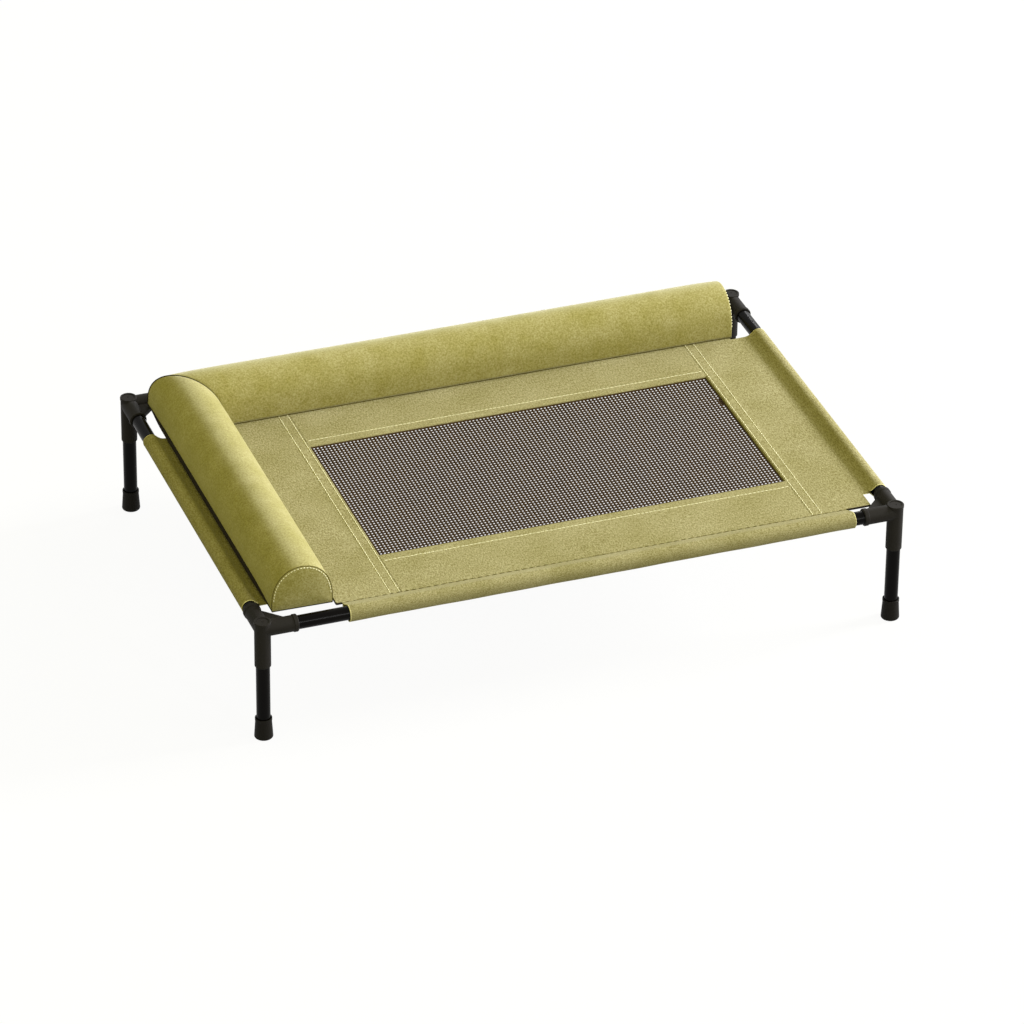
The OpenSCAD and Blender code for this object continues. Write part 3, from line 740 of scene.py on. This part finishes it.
# D-shaped end panel: the arm's first ring drawn together towards the middle of the end, puffed outwards
def endPanel(ring, outward):
    share = np.array(bolster["endRings"])[:, None, None]
    middle = ring[:bolster["arcPoints"]].mean(0)
    middle[2] = endMiddleZ
    rings = middle + share * (ring - middle)
    return rings + bolster["puff"] * (1 - share ** bolster["puffPower"]) * np.asarray(outward)


# Both arms in one list of rings from the front end to the right end, with the mitre's ring shared; gives
# the rings and which of them lie on the front seam, the mitre and the right seam
def joinArms(left, back):
    front = endPanel(left[0], (0.0, -1.0, 0.0))
    right = endPanel(back[0], rightWay)
    rings = np.concatenate([front, left, back[::-1][1:], right[::-1]])
    seams = np.array([len(front), len(front) + len(left) - 1, len(rings) - 1 - len(right)])
    return rings, seams


# Blows a slack cover up between its pinned seams, and gives each arm point's move away from the arm's axis
def inflate(marks, s):
    arms = [armRings(mark, slackAt(mark, reaches[arm]), arm) for arm, mark in marks.items()]
    rings, seams = joinArms(*arms)
    points, faceSets = joinLofts([rings], turned=True)
    piece = newPiece("slackCover", points, faceSets, finish["shortPileSuede"])
    spot = np.tile(np.arange(ringCount), len(rings))
    ringOf = np.repeat(np.arange(len(rings)), ringCount)
    held = (ringOf <= seams[0]) | (ringOf >= seams[2]) | (ringOf == seams[1])
    held |= (spot >= s["arcPoints"] - 1) | (spot == 0)
    group = piece.vertex_groups.new(name="seams")
    group.add([*np.nonzero(held)[0].tolist(), len(points) - 2, len(points) - 1], 1.0, "REPLACE")
    air = piece.modifiers.new("air", "CLOTH")
    for key, value in s["cloth"].items():
        setattr(air.settings, key, value)
    air.settings.effector_weights.gravity = 0
    air.point_cache.frame_start, air.point_cache.frame_end = 1, s["frames"]
    for f in range(1, s["frames"] + 1):
        bpy.context.scene.frame_set(f)
    shape = piece.evaluated_get(bpy.context.evaluated_depsgraph_get()).data
    after = np.zeros(len(points) * 3, np.float32)
    shape.vertices.foreach_get("co", after)
    bpy.context.scene.frame_set(1)
    bpy.data.objects.remove(piece)
    move = after.reshape(-1, 3)[:-2].reshape(rings.shape) / mm - rings
    move = move[:, :s["arcPoints"]]
    cos, sin = np.cos(archTurn)[None, :], np.sin(archTurn)[None, :]
    left = move[seams[0]:seams[1] + 1]
    back = move[seams[1]:seams[2] + 1][::-1]
    away = (left[..., 0] * cos + left[..., 2] * sin, -back[..., 1] * cos + back[..., 2] * sin)
    return [np.clip(field, -s["cap"], s["cap"]) for field in away]


# Evens a field of moves out by averaging each point with its neighbours, many times; the seams stay still
def evenOut(field, rounds):
    for _ in range(rounds):
        inner = field[1:-1, 1:-1]
        inner[:] = inner / 2 + (field[:-2, 1:-1] + field[2:, 1:-1] + field[1:-1, :-2] + field[1:-1, 2:]) / 8
    return field


# Fine marks along an arm: its coarse ones and a few close to both seams
def fineMarks(mark, reach, s):
    close = np.array(s["besideSeam"]) / reach
    clear = close[-1] * s["clearSeam"]
    inner = mark[(mark > clear) & (mark < 1 - clear)]
    return np.concatenate([[0.0], close, inner, 1 - close[::-1], [1.0]])


# Creases the edges that run along a seam ring, and those between the arch and the base
def sharpen(piece, seams, s):
    mesh = piece.data
    ends = np.zeros(len(mesh.edges) * 2, np.int32)
    mesh.edges.foreach_get("vertices", ends)
    ring, spot = (part.reshape(-1, 2) for part in (ends // ringCount, ends % ringCount))
    alongSeam = (ring[:, 0] == ring[:, 1]) & np.isin(ring[:, 0], seams)
    foot = (spot[:, 0] == spot[:, 1]) & np.isin(spot[:, 0], (0, s["arcPoints"] - 1))
    crease = np.where(alongSeam, s["seamCrease"], np.where(foot, s["footCrease"], 0.0)).astype(np.float32)
    mesh.attributes.new("crease_edge", "FLOAT", "EDGE").data.foreach_set("value", crease)


# One cover for both arms: slack and swell together give the full shape, with a narrow groove along the mitre
# and a slight one round each end, which both run out at the foot; gives the rings and the seams
def makeCover(s):
    marks = {arm: np.linspace(0, 1, int(round(reach / s["ringStep"])) + 1) for arm, reach in reaches.items()}
    swells = [evenOut(field, s["evenOut"]) for field in inflate(marks, s)]
    print("bolster swelled by up to", round(float(max(f.max() for f in swells)), 2), "mm")
    arms = []
    for (arm, mark), swell in zip(marks.items(), swells):
        reach = reaches[arm]
        fine = fineMarks(mark, reach, s)
        swell = np.stack([np.interp(fine, mark, swell[:, k]) for k in range(s["arcPoints"])], -1)
        groove = s["seamDeep"] * np.exp(-(1 - fine) * reach / s["seamWide"])
        groove = groove + s["edgeDeep"] * np.exp(-fine * reach / s["edgeWide"])
        footless = 1 - (1 - np.sin(archTurn)[None, :]) ** s["grooveEnd"]
        arms.append(armRings(fine, slackAt(fine, reach) + groove[:, None] * footless - swell, arm))
    rings, seams = joinArms(*arms)
    points, faceSets = joinLofts([rings], turned=True)
    piece = newPiece("bolsterCover", points, faceSets, finish["shortPileSuede"])
    sharpen(piece, seams, s)
    smooth = piece.modifiers.new("smooth", "SUBSURF")
    smooth.levels = smooth.render_levels = 1
    settle(piece, "bolster", "bolster_cloth", "bolster_left_cover", "bolster_back_cover",
           "bolster_front_end", "bolster_right_end", "bolster_left_base", "bolster_back_base",
           "bolster_left_fill", "bolster_back_fill")
    return rings, seams


# Beads of painted shade along lines of the cover: dark ones in the groove over the arch of the mitre seam,
# along the outer feet and under the front end, finer ones round the edge of the front end's arch and along
# the inner feet
def makeShadeBeads(rings, seams, s):
    arc = s["arcPoints"]
    underEnd = np.r_[arc - 1:ringCount, 0]
    dark = [(rings[seams[1], 1:arc - 1], s["mitreWay"], s["mitreShade"]),
            (rings[seams[0], underEnd], backWay, s["endFoot"])]
    fine = [(rings[seams[0], :arc], backWay, s["rim"])]
    thin = s["outerFoot"]["back"]
    for first, last, arm in ((seams[0], seams[1], "left"), (seams[1], seams[2], "back")):
        outer, inner = rings[first:last + 1, arc - 1], rings[first:last + 1, 0]
        endAndMitre = (0, -1) if arm == "left" else (-1, 0)
        fromEnd, fromMitre = (np.linalg.norm(outer - outer[k], axis=1) for k in endAndMitre)
        radius = thin + (s["outerFoot"][arm] - thin) * ease(0, s["taper"], fromMitre)
        radius = radius * ease(-s["blunt"], s["taper"], fromEnd)
        dark.append((outer + radius[:, None] * s["beadUp"], upWay, radius[:, None, None]))
        fine.append((inner + s["innerFoot"] * np.array(s["beadUp"]), upWay, s["innerFoot"]))
    for name, lines, look in (("bolsterShadeBeads", dark, "darkStripAndPaintedShade"),
                              ("bolsterFineShadeBeads", fine, "paintedShadeThread")):
        shadeLofts = joinLofts([beadRings(*line) for line in lines])
        settle(newPiece(name, *shadeLofts, finish[look]), "bolster", "bolster_cloth")


coverRings, coverSeams = makeCover(bolster)
makeShadeBeads(coverRings, coverSeams, bolster)
endArches = coverRings[coverSeams[[0, 2]], :bolster["arcPoints"]]
print("bolster made")

# Stitches: a thread for each kind of row, then what all rows share, and the places of single rows
thread = {
    "side": {"long": 4.0, "gap": 0.25, "radius": 0.42, "arch": 0.3},
    "cross": {"long": 4.0, "gap": 0.25, "radius": 0.33, "arch": 0.22},
    "end": {"long": 2.3, "gap": 0.9, "radius": 0.48, "arch": 0.35},
    "crease": {"long": 5.0, "gap": 2.3, "radius": 0.35, "arch": 0.2},
    "sides": 5, "rings": 5, "thinEnd": 0.6, "dive": 0.4, "lead": 0.1, "bedMargin": 1.0,
    "endInset": 1.7, "endProud": 0.55, "endSkip": 2, "creaseDeep": 0.5, "creaseSet": 0.3, "creaseMargin": 2.0,
}


# Stitches from starts to ends: a thread that rises out of the cloth and dives back, thinner at both ends
def stitchMesh(name, row, ups, look, s, body, slot):
    sides, rings, thinEnd = thread["sides"], thread["rings"], thread["thinEnd"]
    t = np.linspace(0, 1, rings)[None, :, None, None]
    turn = np.linspace(0, 2 * np.pi, sides, endpoint=False)[None, None, :, None]
    ups = np.broadcast_to(ups, row[0].shape)
    starts, ends, ups = (v[:, None, None, :] for v in (*row, ups))
    run = ends - starts
    side = np.cross(ups, run)
    side /= np.linalg.norm(side, axis=-1, keepdims=True)
    thick = s["radius"] * (thinEnd + (1 - thinEnd) * np.sin(np.pi * t))
    centre = starts + run * t + ups * s["arch"] * (np.sin(np.pi * t) - thread["dive"])
    points = centre + thick * (side * np.cos(turn) + ups * np.sin(turn))
    quads = gridQuads(rings, sides, True)
    caps = np.stack([np.arange(sides)[::-1], (rings - 1) * sides + np.arange(sides)])
    step = (np.arange(len(points)) * rings * sides)[:, None, None]
    faceSets = [(step + quads[None]).reshape(-1, 4), (step + caps[None]).reshape(-1, sides)]
    settle(newPiece(name, points.reshape(-1, 3), faceSets, finish[look]), body, slot)


# Even stitches along a line of points: starts and ends at equal lengths along it
def stitchRow(line, s):
    line = np.asarray(line, float)
    walk = np.concatenate([[0], np.cumsum(np.linalg.norm(np.diff(line, axis=0), axis=1))])
    count = int(walk[-1] // (s["long"] + s["gap"]))
    first = (np.arange(count) + thread["lead"]) * walk[-1] / count
    return np.stack([np.stack([np.interp(at, walk, line[:, k]) for k in range(3)], -1)
                     for at in (first, first + s["long"])])


# Rows on the bed: two beside the mesh at each side, and one along its front and back
def bedStitches(side, cross):
    margin = thread["bedMargin"]
    sideLines = [((x, margin - seamY, bedTop), (x, seamY - margin, bedTop)) for x in sideRows]
    crossLines = [((meshLeft + margin, y, bedTop), (meshRight - margin, y, bedTop)) for y in crossRows]
    for name, lines, s in (("sideStitches", sideLines, side), ("crossStitches", crossLines, cross)):
        row = np.concatenate([stitchRow(line, s) for line in lines], 1)
        row[..., 2] += bedLift(row[..., 0], row[..., 1])
        stitchMesh(name, row, upWay, "paleThread", s, "cot", "bed_cloth")


# Rows round the bolster's end panels, just inside the edge of each D
def endStitches(s):
    outwards = np.array([[0.0, -1.0, 0.0], rightWay])
    skip = thread["endSkip"]
    rows = []
    for arch, outward in zip(endArches, outwards):
        middle = np.append(arch.mean(0)[:2], endMiddleZ)
        away = arch - middle
        reach = np.linalg.norm(away, axis=1, keepdims=True)
        line = middle + away * (1 - thread["endInset"] / reach) + outward * thread["endProud"]
        rows.append(stitchRow(line[skip:-skip], s))
    ups = np.concatenate([np.tile(outward, (row.shape[1], 1)) for row, outward in zip(rows, outwards)])
    row = np.concatenate(rows, 1)
    stitchMesh("bolsterStitches", row, ups, "paleThread", s, "bolster", "bolster_cloth")


# Row in the crease between the bed and each long band: a real seam, drawn as dark dashes that paint the shade
# in its puckers
def creaseStitches(s):
    z, margin, inset = bedTop - thread["creaseDeep"], thread["creaseMargin"], thread["creaseSet"]
    lines = [((cot["bandLeft"] + margin, y, z), (cot["bandRight"] - margin, y, z))
             for y in (inset - seamY, seamY - inset)]
    row = np.concatenate([stitchRow(line, s) for line in lines], 1)
    stitchMesh("creaseStitches", row, upWay, "paintedShadeThread", s, "cot", "bed_cloth")


bedStitches(thread["side"], thread["cross"])
endStitches(thread["end"])
creaseStitches(thread["crease"])
print("stitches made")

# Hook and loop tape; drawn gives the share of its thickness at the first and second ring of each end
tape = {
    "width": 25.0, "endGap": 40.0, "mitreGap": 65.0, "thick": 1.2, "fit": 0.3, "round": 0.4, "step": 6.0,
    "ringPoints": 28, "sidePower": 0.16, "topPower": 0.5, "endShares": (0.0, 0.3, 1.0), "drawn": (0.75, 0.93),
}


# Tape along x as rings of a rounded rectangle, drawn in at both ends
def tapeRings(low, high, z0, s):
    turn = (np.arange(s["ringPoints"]) + 0.5) * 2 * np.pi / s["ringPoints"]
    ringA = s["width"] / 2 * np.sign(np.cos(turn)) * np.abs(np.cos(turn)) ** s["sidePower"]
    ringU = s["thick"] / 2 * np.sign(np.sin(turn)) * np.abs(np.sin(turn)) ** s["topPower"]
    inset = s["round"] * np.array(s["endShares"])
    middle = np.arange(low + s["step"], high - s["step"] / 2, s["step"])
    along = np.concatenate([low + inset, middle, high - inset[::-1]])
    draw = np.ones((len(along), 1))
    draw[[0, -1]], draw[[1, -2]] = s["drawn"]
    a = ringA - np.sign(ringA) * (1 - draw) * s["round"] / 2
    return np.stack([along[:, None] + 0 * a, a, z0 + s["thick"] / 2 + ringU * draw], -1)


# Both strips of one side of the fastening, along the middle lines of the bolster's arms
def makeTape(name, node, z0, body, s):
    b = bolster
    left = tapeRings(b["endY"] + s["endGap"], b["midY"] - s["mitreGap"], z0, s)
    left = np.stack([b["midX"] - left[..., 1], left[..., 0], left[..., 2]], -1)
    back = tapeRings(b["midX"] + s["mitreGap"], b["endX"] - s["endGap"], z0, s) + np.array([0, b["midY"], 0])
    settle(newPiece(name, *joinLofts([left, back]), finish[name]), body, "strip", node)


makeTape("loopTape", "loop_strips", bedTop, "cot", tape)
makeTape("hookTape", "hook_strips", bedTop + tape["thick"] + tape["fit"], "bolster", tape)
print("tapes made")
